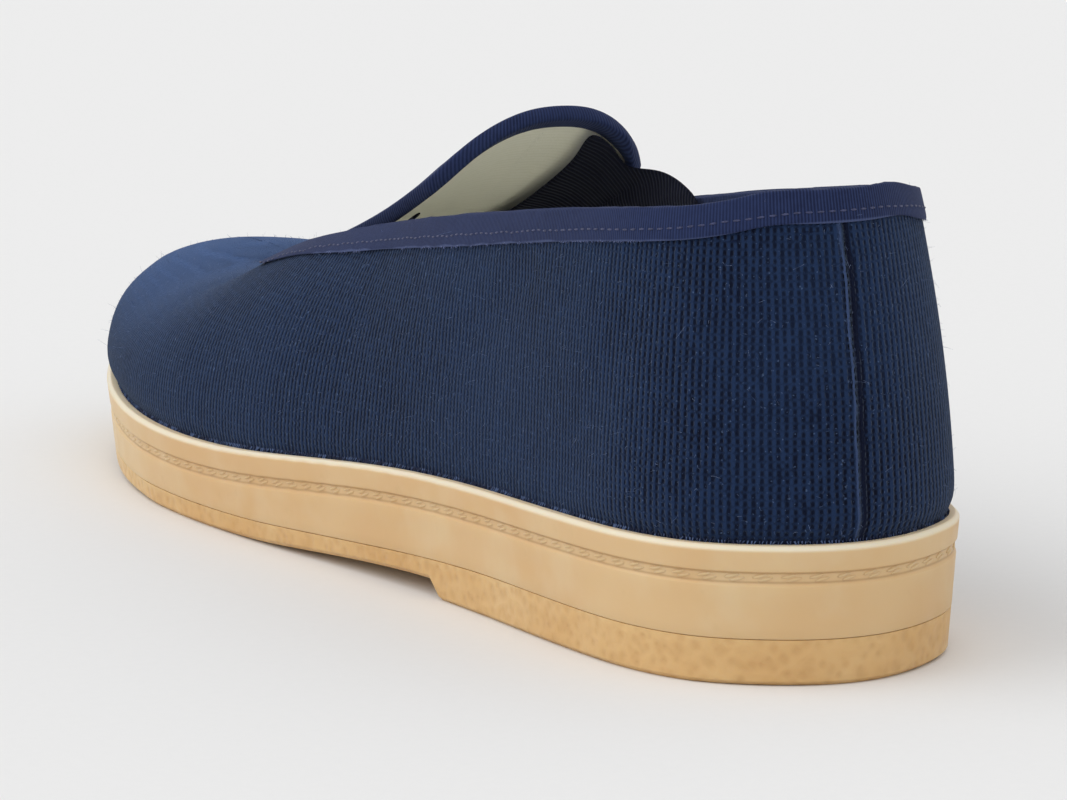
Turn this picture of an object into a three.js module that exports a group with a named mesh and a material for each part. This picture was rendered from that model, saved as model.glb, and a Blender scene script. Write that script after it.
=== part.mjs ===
// Slip-on canvas plimsoll, the left shoe of a pair, standing empty on its sole.
// Millimetres, +Z up, toe towards -Y, the wearer's left (the outer side of the foot) towards +X.
// A navy canvas upper with a tongue flap, edges bound in tape and an elastic gusset under each slit,
// stands in a low tan rubber cup with a separate tread and heel under it.
import * as THREE from "three";
import { mergeVertices } from "three/addons/utils/BufferGeometryUtils.js";

const { lerp, smoothstep, clamp, degToRad } = THREE.MathUtils;

// Overall sizes
const soleLength = 268;
const ballWidth = 91.2;
const heelWidth = 66.4;
const widthStart = 0.25; // shares of the length between which heelWidth turns into ballWidth
const widthEnd = 0.57;
const collarHeight = 78.8; // edge of the canvas at the back of the heel
const tongueHeight = collarHeight + 0.2; // middle of the tongue's free edge
const toeBoxHeight = 39; // canvas above the toes
const clearance = 0.3; // between pieces that are glued or sewn to each other

// Sole
const heelRim = 23.4; // height of the rubber's rim at the heel, the ball and the toe
const ballRim = 15.8;
const toeRim = 20.2;
const heelLayer = 7.8; // height of the line between tread and cup, at the heel and at the ball
const ballLayer = 3.8;
const toeSpring = 5.9;
const breastHeight = 3.1; // step at the front of the heel
const breastRun = 3.2;
const heelFront = 0.328; // shares of the sole's length, counted from the back of the heel
const ballStart = 0.6; // the tread lies flat on the ground from here to ballEnd
const ballEnd = 0.71;
const waistStart = 0.22; // the tread grows thinner from here to waistEnd
const waistEnd = 0.62;
const soleFlare = 1.7; // the foot of the side wall stands this far inside the rim
const soleEdgeRound = 0.8;
const rimWidth = 2.2;
const weltDrop = 4.6; // from the rim down to the moulded welt groove
const weltHeight = 1.6;
const weltDepth = 0.45;
const cupFloor = 5;
const insoleThickness = 2.6;

// Upper
const canvasWall = 1.3; // canvas and its lining together
const tapeWidth = 4.9;
const tapeInnerWidth = 2.6; // the tape's leg on the lining side
const tapeThickness = 0.5;
const heelCrestShare = 0.64; // how far back and forward the crest of the last reaches
const toeCrestShare = 0.68;
const quarterCrest = 1.675 * collarHeight; // where the walls of the quarters would meet above the opening
const crestShift = -2.4; // the crest of the instep lies towards the inner side
const slitFront = 0.65; // shares of the sole's length
const tongueRear = 0.433;
const tongueHalfWidth = 0.226 * ballWidth; // at the free edge
const slitWidth = 3; // across the shoe, at its closed front end
const tongueCorner = 6; // rounding of its corners, along and across the shoe
const tongueCornerAcross = 4.8;
const tongueBow = 1.5; // the free edge is this much further back in its middle
const gussetWall = 0.6;
const gussetQuarterLap = 4.5; // sewn this far inside the quarter
const gussetRunOn = 3.2; // past the front end of the slit

const canvasInset = rimWidth + clearance;
const swellRise = 2.4; // height above the rim at which the canvas has swelled over it
const insoleInset = canvasInset + canvasWall + 1.5 * clearance;

// Half widths of the rim's outline, as shares of half the width there
const outlineRows = [
  { along: 0.0, outer: 0.0, inner: 0.0 },
  { along: 0.015, outer: 0.425, inner: 0.425 },
  { along: 0.05, outer: 0.758, inner: 0.768 },
  { along: 0.1, outer: 0.928, inner: 0.939 },
  { along: 0.18, outer: 1.0, inner: 0.99 },
  { along: 0.28, outer: 1.02, inner: 0.934 },
  { along: 0.38, outer: 0.973, inner: 0.794 },
  { along: 0.48, outer: 0.935, inner: 0.734 },
  { along: 0.57, outer: 0.965, inner: 0.803 },
  { along: 0.65, outer: 1.0, inner: 0.92 },
  { along: 0.72, outer: 0.985, inner: 0.99 },
  { along: 0.8, outer: 0.887, inner: 0.978 },
  { along: 0.87, outer: 0.727, inner: 0.866 },
  { along: 0.93, outer: 0.53, inner: 0.677 },
  { along: 0.97, outer: 0.33, inner: 0.464 },
  { along: 0.99, outer: 0.17, inner: 0.272 },
  { along: 1.0, outer: 0.0, inner: 0.05 },
];

// Height of the rubber's rim above the ground
const rimRows = [
  { along: 0.0, height: heelRim },
  { along: 0.12, height: lerp(ballRim, heelRim, 0.96) },
  { along: 0.36, height: lerp(ballRim, heelRim, 0.73) },
  { along: 0.62, height: ballRim },
  { along: 0.85, height: lerp(ballRim, toeRim, 0.38) },
  { along: 1.0, height: toeRim },
];

// The last: rise of the crest from the toe box (0) to the tongue's edge (1), how square the sections are on
// the shoe's outer and inner side, and how far the canvas swells over the rim, as a share of the rim's width
const lastRows = [
  { along: 0.0, rise: 2.0, outer: 1.74, inner: 1.74, swell: 0.85 },
  { along: 0.07, rise: 1.9, outer: 1.88, inner: 1.76, swell: 0.7 },
  { along: 0.2, rise: 1.75, outer: 2.2, inner: 2.2, swell: 0.15 },
  { along: 0.3, rise: 1.45, outer: 2.1, inner: 2.6, swell: 0.1 },
  { along: 0.433, rise: 1.0, outer: 2.0, inner: 3.0, swell: 0.2 },
  { along: 0.52, rise: 0.61, outer: 2.28, inner: 2.8, swell: 0.3 },
  { along: 0.593, rise: 0.37, outer: 2.65, inner: 2.55, swell: 0.4 },
  { along: 0.66, rise: 0.19, outer: 2.9, inner: 2.5, swell: 0.5 },
  { along: 0.74, rise: 0.06, outer: 2.85, inner: 2.6, swell: 0.8 },
  { along: 0.82, rise: -0.01, outer: 2.8, inner: 2.7, swell: 1.0 },
  { along: 0.9, rise: 0.01, outer: 2.95, inner: 2.95, swell: 1.25 },
  { along: 1.0, rise: 0.01, outer: 3.2, inner: 3.2, swell: 1.3 },
];

// Top line of the quarters, as shares of the collar's height at the heel
const collarRows = [
  { along: 0.0, height: 1.004 },
  { along: 0.013, height: 1.004 },
  { along: 0.022, height: 0.999 },
  { along: 0.034, height: 0.981 },
  { along: 0.05, height: 0.972 },
  { along: 0.145, height: 0.936 },
  { along: 0.29, height: 0.867 },
  { along: 0.39, height: 0.808 },
  { along: 0.47, height: 0.753 },
  { along: 0.538, height: 0.702 },
  { along: 0.593, height: 0.658 },
  { along: slitFront, height: 0.596 },
];

// How far the sections of the quarters have turned into those of the vamp. Their edge laps over the vamp.
const quarterRows = [
  { along: 0.0, blend: 0.0 },
  { along: 0.2, blend: 0.0 },
  { along: 0.3, blend: 0.4 },
  { along: 0.36, blend: 0.74 },
  { along: 0.42, blend: 0.95 },
  { along: 0.5, blend: 0.975 },
  { along: 0.6, blend: 0.972 },
  { along: slitFront, blend: 0.977 },
  { along: slitFront + 0.06, blend: 1.0 },
  { along: 1.0, blend: 1.0 },
];

// Gussets: how far each is sewn under the tongue, how far in front of the tongue's free edge its rear edge
// starts and how far behind that edge it meets the quarter, and how far it sinks below a straight line
const gussetRows = {
  outer: { side: 1, lap: 2.5, setback: 15, reach: 16, sag: 0.6 },
  inner: { side: -1, lap: 14, setback: 1.5, reach: 18, sag: -2.2 },
};

// Smooth curve through the knots: cubic pieces whose slopes come from the neighbouring knots
function smoothCurve(at, values) {
  const last = at.length - 1;
  const slopes = at.map((_, i) => {
    const before = Math.max(i - 1, 0);
    const after = Math.min(i + 1, last);
    const across = (values[after] - values[before]) / (at[after] - at[before]);
    if (i === before || i === after) return across;
    const left = (values[i] - values[before]) / (at[i] - at[before]);
    const right = (values[after] - values[i]) / (at[after] - at[i]);
    const share = (at[i] - at[before]) / (at[after] - at[before]);
    return lerp(left, right, share);
  });
  return (x) => {
    let i = at.findIndex((knot) => knot > x) - 1;
    if (i < 0) i = x < at[0] ? 0 : last - 1;
    const width = at[i + 1] - at[i];
    const t = (x - at[i]) / width;
    const rest = 1 - t;
    return (
      values[i] * (1 + 2 * t) * rest * rest +
      slopes[i] * width * t * rest * rest +
      values[i + 1] * t * t * (3 - 2 * t) -
      slopes[i + 1] * width * t * t * rest
    );
  };
}

function tableCurve(rows, column) {
  return smoothCurve(
    rows.map((row) => row.along),
    rows.map((row) => row[column]),
  );
}

// The angle runs round the shoe: 0 at the back of the heel, half a turn at the toe, positive on the outside
const angleOf = (along) => Math.acos(1 - 2 * along);
const alongOf = (angle) => (1 - Math.cos(angle)) / 2;
const alongAt = (y) => 0.5 - y / soleLength;

const outlineCurve = (() => {
  const outer = outlineRows.slice(1).map((row) => [angleOf(row.along), row.outer]);
  const inner = outlineRows.slice(1).map((row) => [-angleOf(row.along), -row.inner]);
  const heel = [[0, 0]];
  const toe = -outlineRows.at(-1).inner;
  outer.at(-1)[1] = toe;
  // One knot past the toe on each side keeps the slope there the same from both sides
  const pastOuter = [2 * Math.PI + inner.at(-2)[0], inner.at(-2)[1]];
  const pastInner = [-2 * Math.PI + outer.at(-2)[0], outer.at(-2)[1]];
  const knots = [pastInner, ...inner.reverse(), ...heel, ...outer, pastOuter];
  return smoothCurve(
    knots.map((knot) => knot[0]),
    knots.map((knot) => knot[1]),
  );
})();

// Point of the rim's outline at an angle, moved inwards
function outline(angle, inset = 0) {
  const at = (a) => {
    const along = alongOf(a);
    const half = lerp(heelWidth, ballWidth, smoothstep(along, widthStart, widthEnd)) / 2;
    return new THREE.Vector2(half * outlineCurve(a), (soleLength / 2) * Math.cos(a));
  };
  const step = 1e-3;
  const tangent = at(angle + step).sub(at(angle - step)).normalize();
  return at(angle).add(new THREE.Vector2(tangent.y, -tangent.x).multiplyScalar(inset));
}

// Heights of the sole along its length
const spring = (along) => toeSpring * Math.max(0, (along - ballEnd) / (1 - ballEnd)) ** 1.7;
const breastTop = heelFront + breastRun / soleLength;

function groundHeight(along) {
  if (along <= heelFront) return 0;
  if (along < breastTop) return (breastHeight * (along - heelFront)) / (breastTop - heelFront);
  if (along < ballStart) return breastHeight * (1 - smoothstep(along, breastTop, ballStart));
  return spring(along);
}

function layerHeight(along) {
  return lerp(heelLayer, ballLayer, smoothstep(along, waistStart, waistEnd)) + spring(along);
}

const rimCurve = tableCurve(rimRows, "height");
const floorHeight = (along) => layerHeight(along) + clearance / 2 + cupFloor;

// Stations along one side, closer together at both ends, with the wanted shares among them
function stationAngles(count, wanted = []) {
  const nearest = (Math.PI / count) * 0.4;
  const keys = wanted.map(angleOf);
  const even = Array.from({ length: count + 1 }, (_, i) => (Math.PI * i) / count);
  const isFree = (a) => keys.every((key) => Math.abs(key - a) > nearest);
  const kept = even.filter((a, i) => i === 0 || i === count || isFree(a));
  const sorted = [...kept, ...keys].sort((a, b) => a - b);
  return sorted.filter((a, i) => i === 0 || a - sorted[i - 1] > 1e-4);
}

// Body with its faces turned outwards
function solidOf(points, triangles) {
  const cross = new THREE.Vector3();
  const corner = ([a, b, c]) => points[a].dot(cross.crossVectors(points[b], points[c]));
  const volume = triangles.reduce((sum, triangle) => sum + corner(triangle), 0);
  const outward = volume < 0 ? triangles.map(([a, b, c]) => [c, b, a]) : triangles;
  const geometry = new THREE.BufferGeometry().setFromPoints(points);
  geometry.setIndex(outward.flat());
  return geometry.toNonIndexed();
}

// Ring round the whole shoe. The inset and the height may change along it.
function ring(angles, inset, height) {
  const around = [...angles, ...angles.slice(1, -1).map((a) => -a).reverse()];
  return around.map((angle) => {
    const along = alongOf(angle);
    const z = height(along);
    const point = outline(angle, typeof inset === "function" ? inset(along, z) : inset);
    return new THREE.Vector3(point.x, point.y, z);
  });
}

// Solid through rings that all have the same angles. The first and last ring are closed across the shoe.
function loft(rings) {
  const count = rings[0].length;
  const triangles = [];
  const quad = (a, b, c, d) => {
    if (a !== b && b !== c) triangles.push([a, b, c]);
    if (c !== d && d !== a) triangles.push([a, c, d]);
  };
  for (let k = 0; k + 1 < rings.length; k++) {
    for (let i = 0; i < count; i++) {
      const next = (i + 1) % count;
      quad(k * count + i, (k + 1) * count + i, (k + 1) * count + next, k * count + next);
    }
  }
  const top = (rings.length - 1) * count;
  for (let j = 0; j < count / 2; j++) {
    const across = (count - j) % count;
    quad(j, j + 1, count - j - 1, across);
    quad(top + across, top + count - j - 1, top + j + 1, top + j);
  }
  return solidOf(rings.flat(), triangles);
}

// The side wall leans in from the rim to the ground
function wallInset(along, z) {
  const ground = groundHeight(along);
  return soleFlare * (1 - (z - ground) / (rimCurve(along) - ground));
}

const inward = (extra) => (along, z) => wallInset(along, z) + extra;

function makeOutsole() {
  const angles = stationAngles(34, [heelFront, breastTop, ballStart, ballEnd]);
  return loft([
    ring(angles, inward(soleEdgeRound), groundHeight),
    ring(angles, inward(0), (along) => groundHeight(along) + soleEdgeRound),
    ring(angles, inward(0), (along) => layerHeight(along) - clearance / 2),
  ]);
}

function makeMidsole() {
  const angles = stationAngles(36);
  const below = (drop) => (along) => rimCurve(along) - drop;
  const groove = weltDrop + weltHeight;
  const lip = 0.7; // rounding of the rim
  return loft([
    ring(angles, inward(0), (along) => layerHeight(along) + clearance / 2),
    ring(angles, inward(0), below(groove + weltDepth)),
    ring(angles, inward(weltDepth), below(groove)),
    ring(angles, inward(weltDepth), below(weltDrop)),
    ring(angles, inward(0), below(weltDrop - weltDepth)),
    ring(angles, 0, below(lip)),
    ring(angles, lip, below(0)),
    ring(angles, rimWidth - lip / 2, below(0)),
    ring(angles, rimWidth, below(lip / 2)),
    ring(angles, rimWidth, floorHeight),
  ]);
}

function makeInsole() {
  const angles = stationAngles(26);
  const edgeRound = 0.6;
  const above = (height) => (along) => floorHeight(along) + clearance + height;
  return loft([
    ring(angles, insoleInset, above(0)),
    ring(angles, insoleInset, above(insoleThickness - edgeRound)),
    ring(angles, insoleInset + edgeRound, above(insoleThickness)),
  ]);
}

// The last's surface. Its sections run from the rim over the crest, and fan out round the heel and the toe.
const riseCurve = tableCurve(lastRows, "rise");
const outerFullness = tableCurve(lastRows, "outer");
const innerFullness = tableCurve(lastRows, "inner");
const swellCurve = tableCurve(lastRows, "swell");
const collarCurve = tableCurve(collarRows, "height");

const sideOf = (angle) => (angle < 0 ? -1 : 1);
const fullness = (angle) => (angle < 0 ? innerFullness : outerFullness)(alongOf(angle));
const vampCrest = (along) => lerp(toeBoxHeight, tongueHeight, riseCurve(along));
const quarterBlend = tableCurve(quarterRows, "blend");
const sideCrest = (along) => lerp(quarterCrest, vampCrest(along), clamp(quarterBlend(along), 0, 1));

function crestPoint(angle) {
  const share = Math.cos(angle);
  const reach = share > 0 ? heelCrestShare : toeCrestShare;
  const bend = 1 / (reach * reach) - 1;
  return new THREE.Vector2(crestShift, ((soleLength / 2) * share) / Math.sqrt(1 + bend * share * share));
}

// Point of a section: lift is 0 at the rim and a quarter turn at the crest
function lastPoint(angle, lift, crestHeight) {
  const power = fullness(angle);
  const scale = (Math.cos(lift) ** power + Math.sin(lift) ** power) ** (1 / power);
  const along = alongOf(angle);
  const rim = rimCurve(along);
  const above = ((crestHeight(along) - rim) * Math.sin(lift)) / scale;
  const swell = rimWidth * swellCurve(along) * smoothstep(above, 0, swellRise);
  const spot = crestPoint(angle).lerp(outline(angle, canvasInset - swell), Math.cos(lift) / scale);
  return new THREE.Vector3(spot.x, spot.y, lerp(rim, crestHeight(alongAt(spot.y)), Math.sin(lift) / scale));
}

// Lift at which a section reaches a share of its height
const liftOfHeight = (share, power) => Math.atan2(share, (1 - share ** power) ** (1 / power));

function collarLift(angle) {
  const along = Math.min(alongOf(angle), slitFront);
  const at = sideOf(angle) * angleOf(along);
  const rim = rimCurve(along);
  const share = (collarHeight * collarCurve(along) - rim) / (sideCrest(along) - rim);
  return liftOfHeight(share, fullness(at));
}

const sidePoint = (angle, lift) => lastPoint(angle, lift, sideCrest);

// Half width of the tongue: its sides run to the slits' front ends, and its corners are rounded off
function tongueWidth(angle) {
  const along = alongOf(angle);
  const room = Math.abs(sidePoint(angle, collarLift(angle)).x - crestShift) - slitWidth;
  const forward = (along - tongueRear) / (slitFront - tongueRear);
  const straight = Math.min(lerp(tongueHalfWidth, room, forward), room);
  const corner = 1 - clamp((forward * (slitFront - tongueRear) * soleLength) / tongueCorner, 0, 1);
  return straight - tongueCornerAcross * (1 - Math.sqrt(1 - corner * corner));
}

function tongueLift(angle) {
  const at = sideOf(angle) * angleOf(clamp(alongOf(angle), tongueRear, slitFront));
  const power = fullness(at);
  const share = tongueWidth(at) / Math.abs(outline(at, canvasInset).x - crestShift);
  return Math.atan2((1 - share ** power) ** (1 / power), share);
}

// The tongue's free edge bows towards the heel in its middle
function bowedAngle(angle, lift) {
  const along = alongOf(angle);
  const edge = tongueLift(angle);
  const middle = Math.max(0, (lift - edge) / (Math.PI / 2 - edge));
  const bow = (1 - smoothstep(along, tongueRear, slitFront)) * Math.sin((middle * Math.PI) / 2);
  return sideOf(angle) * angleOf(along - (tongueBow / soleLength) * bow);
}

const vampPoint = (angle, lift) => lastPoint(bowedAngle(angle, lift), lift, vampCrest);

// Lift that lies a distance along the section from a given lift
function liftAway(surface, angle, from, distance) {
  const steps = 6;
  let lift = from;
  for (let i = 0; i < steps; i++) {
    const speed = surface(angle, lift).distanceTo(surface(angle, lift + 0.01)) / 0.01;
    lift += distance / steps / speed;
  }
  return lift;
}

const sideRows = 6; // from the rim up to the tape, closer together at the rim
const vampRows = 5; // from the tape up to the crest
const toeLifts = [44, 48, 52, 56, 60, 64].map(degToRad); // of the rows beside the tapes, at the toe
const rowOf = { foot: 0, rim: 1, sideTape: 1 + sideRows };
rowOf.sideFold = rowOf.sideTape + 1;
rowOf.collar = rowOf.sideTape + 2;
rowOf.tongue = rowOf.collar + 1;
rowOf.tongueFold = rowOf.tongue + 1;
rowOf.tongueTape = rowOf.tongue + 2;
rowOf.crest = rowOf.tongueTape + vampRows;

const tapeEnd = slitFront - (tapeThickness + 3 * clearance) / soleLength;
const cornerShare = (share) => tongueRear + (share * tongueCorner) / soleLength;
const upperAngles = stationAngles(36, [
  tongueRear,
  cornerShare(0.12),
  cornerShare(0.45),
  cornerShare(1),
  tongueRear + tapeInnerWidth / soleLength,
  tongueRear + tapeWidth / soleLength,
  tapeEnd,
  slitFront,
]);

// Lifts of the rows of one section
function rowLifts(angle) {
  const along = alongOf(angle);
  const at = sideOf(angle) * angleOf(Math.min(along, slitFront));
  const onward = smoothstep(along, slitFront, 1);
  const collar = collarLift(at);
  const tongue = tongueLift(at);
  const [sideTape, sideFold] = [tapeWidth, tapeInnerWidth].map((d) => liftAway(sidePoint, at, collar, -d));
  const tongueTape = liftAway(vampPoint, at, tongue, tapeWidth);
  const tongueFold = liftAway(vampPoint, at, tongue, tapeInnerWidth);
  // Past the slit the rows spread evenly towards the toe
  const named = [sideTape, sideFold, collar, tongue, tongueFold, tongueTape];
  const spread = named.map((lift, i) => lerp(lift, toeLifts[i], onward));
  const sides = Array.from({ length: sideRows }, (_, i) => spread[0] * (i / sideRows) ** 1.7);
  const tops = Array.from({ length: vampRows }, (_, i) => lerp(spread[5], Math.PI / 2, (i + 1) / vampRows));
  return [...sides, ...spread, ...tops];
}

function upperColumn(angle) {
  const foot = outline(angle, canvasInset);
  const hem = new THREE.Vector3(foot.x, foot.y, floorHeight(alongOf(angle)) + clearance);
  const points = rowLifts(angle).map((lift, i) =>
    i + 1 <= rowOf.collar ? sidePoint(angle, lift) : vampPoint(angle, lift),
  );
  return [hem, ...points];
}

// Outer skin of the upper: welded points with their normals, and its cells of two triangles each
function makeSkin() {
  const count = upperAngles.length - 1;
  const around = [...upperAngles, ...upperAngles.slice(1, -1).map((a) => -a).reverse()];
  const columns = around.map(upperColumn);
  const height = columns[0].length;
  const welded = mergeVertices(new THREE.BufferGeometry().setFromPoints(columns.flat()), 1e-3);
  const cells = [];
  for (let c = 0; c < columns.length; c++) {
    const next = (c + 1) % columns.length;
    const station = c < count ? c : columns.length - 1 - c;
    const share = alongOf((upperAngles[station] + upperAngles[station + 1]) / 2);
    for (let row = 0; row + 1 < height; row++) {
      if (row === rowOf.collar && share < slitFront) continue;
      if (row > rowOf.collar && share < tongueRear) continue;
      const at = (column, r) => welded.index.getX(column * height + r);
      const [a, b, d, e] = [at(c, row), at(c, row + 1), at(next, row + 1), at(next, row)];
      const faces = [[a, b, d], [a, d, e]].filter(([p, q, r]) => p !== q && q !== r && r !== p);
      cells.push({ share, row, faces });
    }
  }
  welded.setIndex(cells.flatMap((cell) => cell.faces.flat()));
  welded.computeVertexNormals();
  const read = (name) => {
    const attribute = welded.getAttribute(name);
    const indices = Array.from({ length: attribute.count }, (_, i) => i);
    return indices.map((i) => new THREE.Vector3().fromBufferAttribute(attribute, i));
  };
  return { points: read("position"), normals: read("normal"), cells };
}

const borderOf = (faces) => {
  const edges = faces.flatMap(([a, b, c]) => [[a, b], [b, c], [c, a]]);
  const known = new Set(edges.map(([a, b]) => `${a},${b}`));
  return edges.filter(([a, b]) => !known.has(`${b},${a}`));
};

// The upper's wall: the skin, the same skin moved inwards by the wall, and the edges between them
function makeUpper({ points, normals, cells }) {
  const faces = cells.flatMap((cell) => cell.faces);
  return wallUnder(points, (i) => normals[i], faces, -canvasWall);
}

// Tape folded over the free edge of some of the skin's cells, with a wider leg outside than inside
function makeTape({ points, normals, cells }, isOuter, isInner) {
  const free = new Set(borderOf(cells.flatMap((cell) => cell.faces)).map(([a, b]) => `${a},${b}`));
  const facesOf = (test) => cells.filter(test).flatMap((cell) => cell.faces);
  const outerFaces = facesOf(isOuter);
  const innerFaces = facesOf(isInner);
  const folds = borderOf(outerFaces).filter(([a, b]) => free.has(`${a},${b}`));

  // Direction past the edge at each of its points
  const past = new Map();
  for (const [a, b] of folds) {
    const edge = points[b].clone().sub(points[a]);
    for (const i of [a, b]) {
      const away = edge.clone().cross(normals[i]).normalize();
      past.set(i, (past.get(i) ?? new THREE.Vector3()).add(away));
    }
  }
  past.forEach((away) => away.normalize());

  const near = clearance;
  const far = clearance + tapeThickness;
  const sheets = [];
  const place = new Map();
  const spot = (i, out, beyond) => {
    const key = `${i},${out},${beyond}`;
    if (!place.has(key)) {
      const point = points[i].clone().addScaledVector(normals[i], out);
      if (past.has(i)) point.addScaledVector(past.get(i), beyond);
      place.set(key, sheets.push(point) - 1);
    }
    return place.get(key);
  };
  // The section round the fold, from the outer leg's face to the inner leg's, and back inside it
  const [roundOut, roundPast] = [0.7 * far, 0.75 * far];
  const outside = [
    [far, 0],
    [roundOut, roundPast],
    [-canvasWall / 2, far],
    [-canvasWall - roundOut, roundPast],
    [-canvasWall - far, 0],
  ];
  const inside = [[near, near], [-canvasWall - near, near]];
  const triangles = [];
  const sheet = (faces, out, beyond, turned) => {
    for (const face of faces) {
      const ids = face.map((i) => spot(i, out, beyond));
      triangles.push(turned ? ids.reverse() : ids);
    }
  };
  sheet(outerFaces, far, 0, false);
  sheet(outerFaces, near, near, true);
  sheet(innerFaces, -canvasWall - near, near, false);
  sheet(innerFaces, -canvasWall - far, 0, true);
  const strip = ([a, b], [out1, by1], [out2, by2]) => {
    const [p, q, r, s] = [spot(a, out1, by1), spot(b, out1, by1), spot(b, out2, by2), spot(a, out2, by2)];
    triangles.push([q, p, r], [p, s, r]);
  };
  for (const edge of folds) {
    for (let k = 0; k + 1 < outside.length; k++) strip(edge, outside[k], outside[k + 1]);
    strip(edge, inside[1], inside[0]);
  }
  const isFold = new Set(folds.map(([a, b]) => `${a},${b}`));
  const walls = (faces, from, to) => {
    for (const edge of borderOf(faces)) if (!isFold.has(`${edge}`)) strip(edge, from, to);
  };
  walls(outerFaces, outside[0], inside[0]);
  walls(innerFaces, inside[1], outside.at(-1));
  // Ends of the fold
  const starts = new Set(folds.map(([a]) => a));
  const stops = new Set(folds.map(([, b]) => b));
  const [b0, b1] = inside;
  const fan = [
    [outside[0], outside[1], b0],
    [outside[1], outside[2], b0],
    [outside[2], b1, b0],
    [outside[2], outside[3], b1],
    [outside[3], outside[4], b1],
  ];
  for (const i of [...starts, ...stops]) {
    if (starts.has(i) && stops.has(i)) continue;
    for (const corners of fan) {
      const ids = corners.map(([out, by]) => spot(i, out, by));
      triangles.push(starts.has(i) ? ids.reverse() : ids);
    }
  }
  return solidOf(sheets, triangles);
}

function normalOf(surface, angle, lift) {
  const step = 1e-3;
  const round = surface(angle + step, lift).sub(surface(angle - step, lift));
  const up = surface(angle, lift + step).sub(surface(angle, lift - step));
  return up.cross(round).normalize();
}

// Elastic panel under one slit, from under the tongue's edge to inside the quarter's edge
function makeGusset({ side, lap, setback, reach, sag }) {
  const depth = canvasWall + tapeThickness + 4.2 * clearance;
  const columns = 9;
  const front = slitFront + gussetRunOn / soleLength;
  const tongueEnd = tongueRear + setback / soleLength;
  const quarterEnd = tongueRear - reach / soleLength;
  const under = (surface, angle, lift) =>
    surface(angle, lift).addScaledVector(normalOf(surface, angle, lift), -depth);
  const grid = Array.from({ length: columns }, (_, k) => {
    const share = k / (columns - 1);
    const tongueSide = side * angleOf(lerp(front, tongueEnd, share));
    const quarterSide = side * angleOf(lerp(front, quarterEnd, share));
    const [tongue, collar] = [tongueLift(tongueSide), collarLift(quarterSide)];
    const underTongue = (part) => {
      const lift = liftAway(vampPoint, tongueSide, tongue, part * lap);
      return under(vampPoint, tongueSide, lift);
    };
    const insideQuarter = (part) => {
      const lift = liftAway(sidePoint, quarterSide, collar, -part * gussetQuarterLap);
      return under(sidePoint, quarterSide, lift);
    };
    const [from, to] = [underTongue(0), insideQuarter(0)];
    const mostSag = 0.12 * from.distanceTo(to);
    const depthOfSag = clamp(sag * share, -mostSag, mostSag);
    const inwards = to.clone().sub(from).cross(new THREE.Vector3(0, -side, 0)).normalize();
    const between = [0.25, 0.5, 0.75].map((t) =>
      from.clone().lerp(to, t).addScaledVector(inwards, depthOfSag * Math.sin(Math.PI * t)),
    );
    return [
      ...[1, 2 / 3, 1 / 3].map(underTongue),
      from,
      ...between,
      to,
      ...[1 / 2, 1].map(insideQuarter),
    ];
  });
  return sheetSolid(grid, -side * gussetWall);
}

// Wall of even thickness on one side of a grid of points
function sheetSolid(grid, wall) {
  const width = grid[0].length;
  const points = grid.flat();
  const faces = [];
  for (let k = 0; k + 1 < grid.length; k++) {
    for (let i = 0; i + 1 < width; i++) {
      const a = k * width + i;
      faces.push([a, a + 1, a + width + 1], [a, a + width + 1, a + width]);
    }
  }
  const geometry = new THREE.BufferGeometry().setFromPoints(points);
  geometry.setIndex(faces.flat());
  geometry.computeVertexNormals();
  const normals = geometry.getAttribute("normal");
  return wallUnder(points, (i) => new THREE.Vector3().fromBufferAttribute(normals, i), faces, wall);
}

// Solid between some faces and the same faces moved along their normals
function wallUnder(points, normalAt, faces, distance) {
  const count = points.length;
  const moved = points.map((p, i) => p.clone().addScaledVector(normalAt(i), distance));
  const back = faces.map(([a, b, c]) => [c + count, b + count, a + count]);
  const rims = borderOf(faces).flatMap(([a, b]) => [[b, a, a + count], [b, a + count, b + count]]);
  return solidOf([...points, ...moved], [...faces, ...back, ...rims]);
}

const skin = makeSkin();
const alongSlit = (cell, rows) => cell.share < tapeEnd && rows.includes(cell.row);
const withinTongue = (cell, width) =>
  cell.row > rowOf.collar && cell.share < tongueRear + width / soleLength;
const collarTapeOuter = (cell) => alongSlit(cell, [rowOf.sideTape, rowOf.sideFold]);
const collarTapeInner = (cell) => alongSlit(cell, [rowOf.sideFold]);
const tongueTapeOuter = (cell) =>
  alongSlit(cell, [rowOf.tongue, rowOf.tongueFold]) || withinTongue(cell, tapeWidth);
const tongueTapeInner = (cell) => alongSlit(cell, [rowOf.tongue]) || withinTongue(cell, tapeInnerWidth);

const rubber = { color: 0xe3c08a, roughness: 0.55 };
const tape = { color: 0x22305a, roughness: 0.85 };
const elastic = { color: 0x10182f, roughness: 0.9 };
const pieces = {
  outsole: [makeOutsole(), rubber],
  midsole: [makeMidsole(), rubber],
  insole: [makeInsole(), { color: 0xdedacb, roughness: 0.9 }],
  upper: [makeUpper(skin), { color: 0x24375f, roughness: 0.95 }],
  collar_tape: [makeTape(skin, collarTapeOuter, collarTapeInner), tape],
  tongue_tape: [makeTape(skin, tongueTapeOuter, tongueTapeInner), tape],
  gusset_outer: [makeGusset(gussetRows.outer), elastic],
  gusset_inner: [makeGusset(gussetRows.inner), elastic],
};

const shoe = new THREE.Group();
for (const [name, [geometry, look]] of Object.entries(pieces)) {
  const mesh = new THREE.Mesh(geometry, new THREE.MeshStandardMaterial({ metalness: 0, ...look }));
  mesh.name = name;
  shoe.add(mesh);
}
export default shoe;
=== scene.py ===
"""The looks of a slip-on canvas plimsoll, a left shoe: navy canvas over a cotton lining, ribbed tape round
the edges, elastic gussets beside the tongue flap, and a tan rubber cup sole with a tread and heel."""
import math

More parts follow.
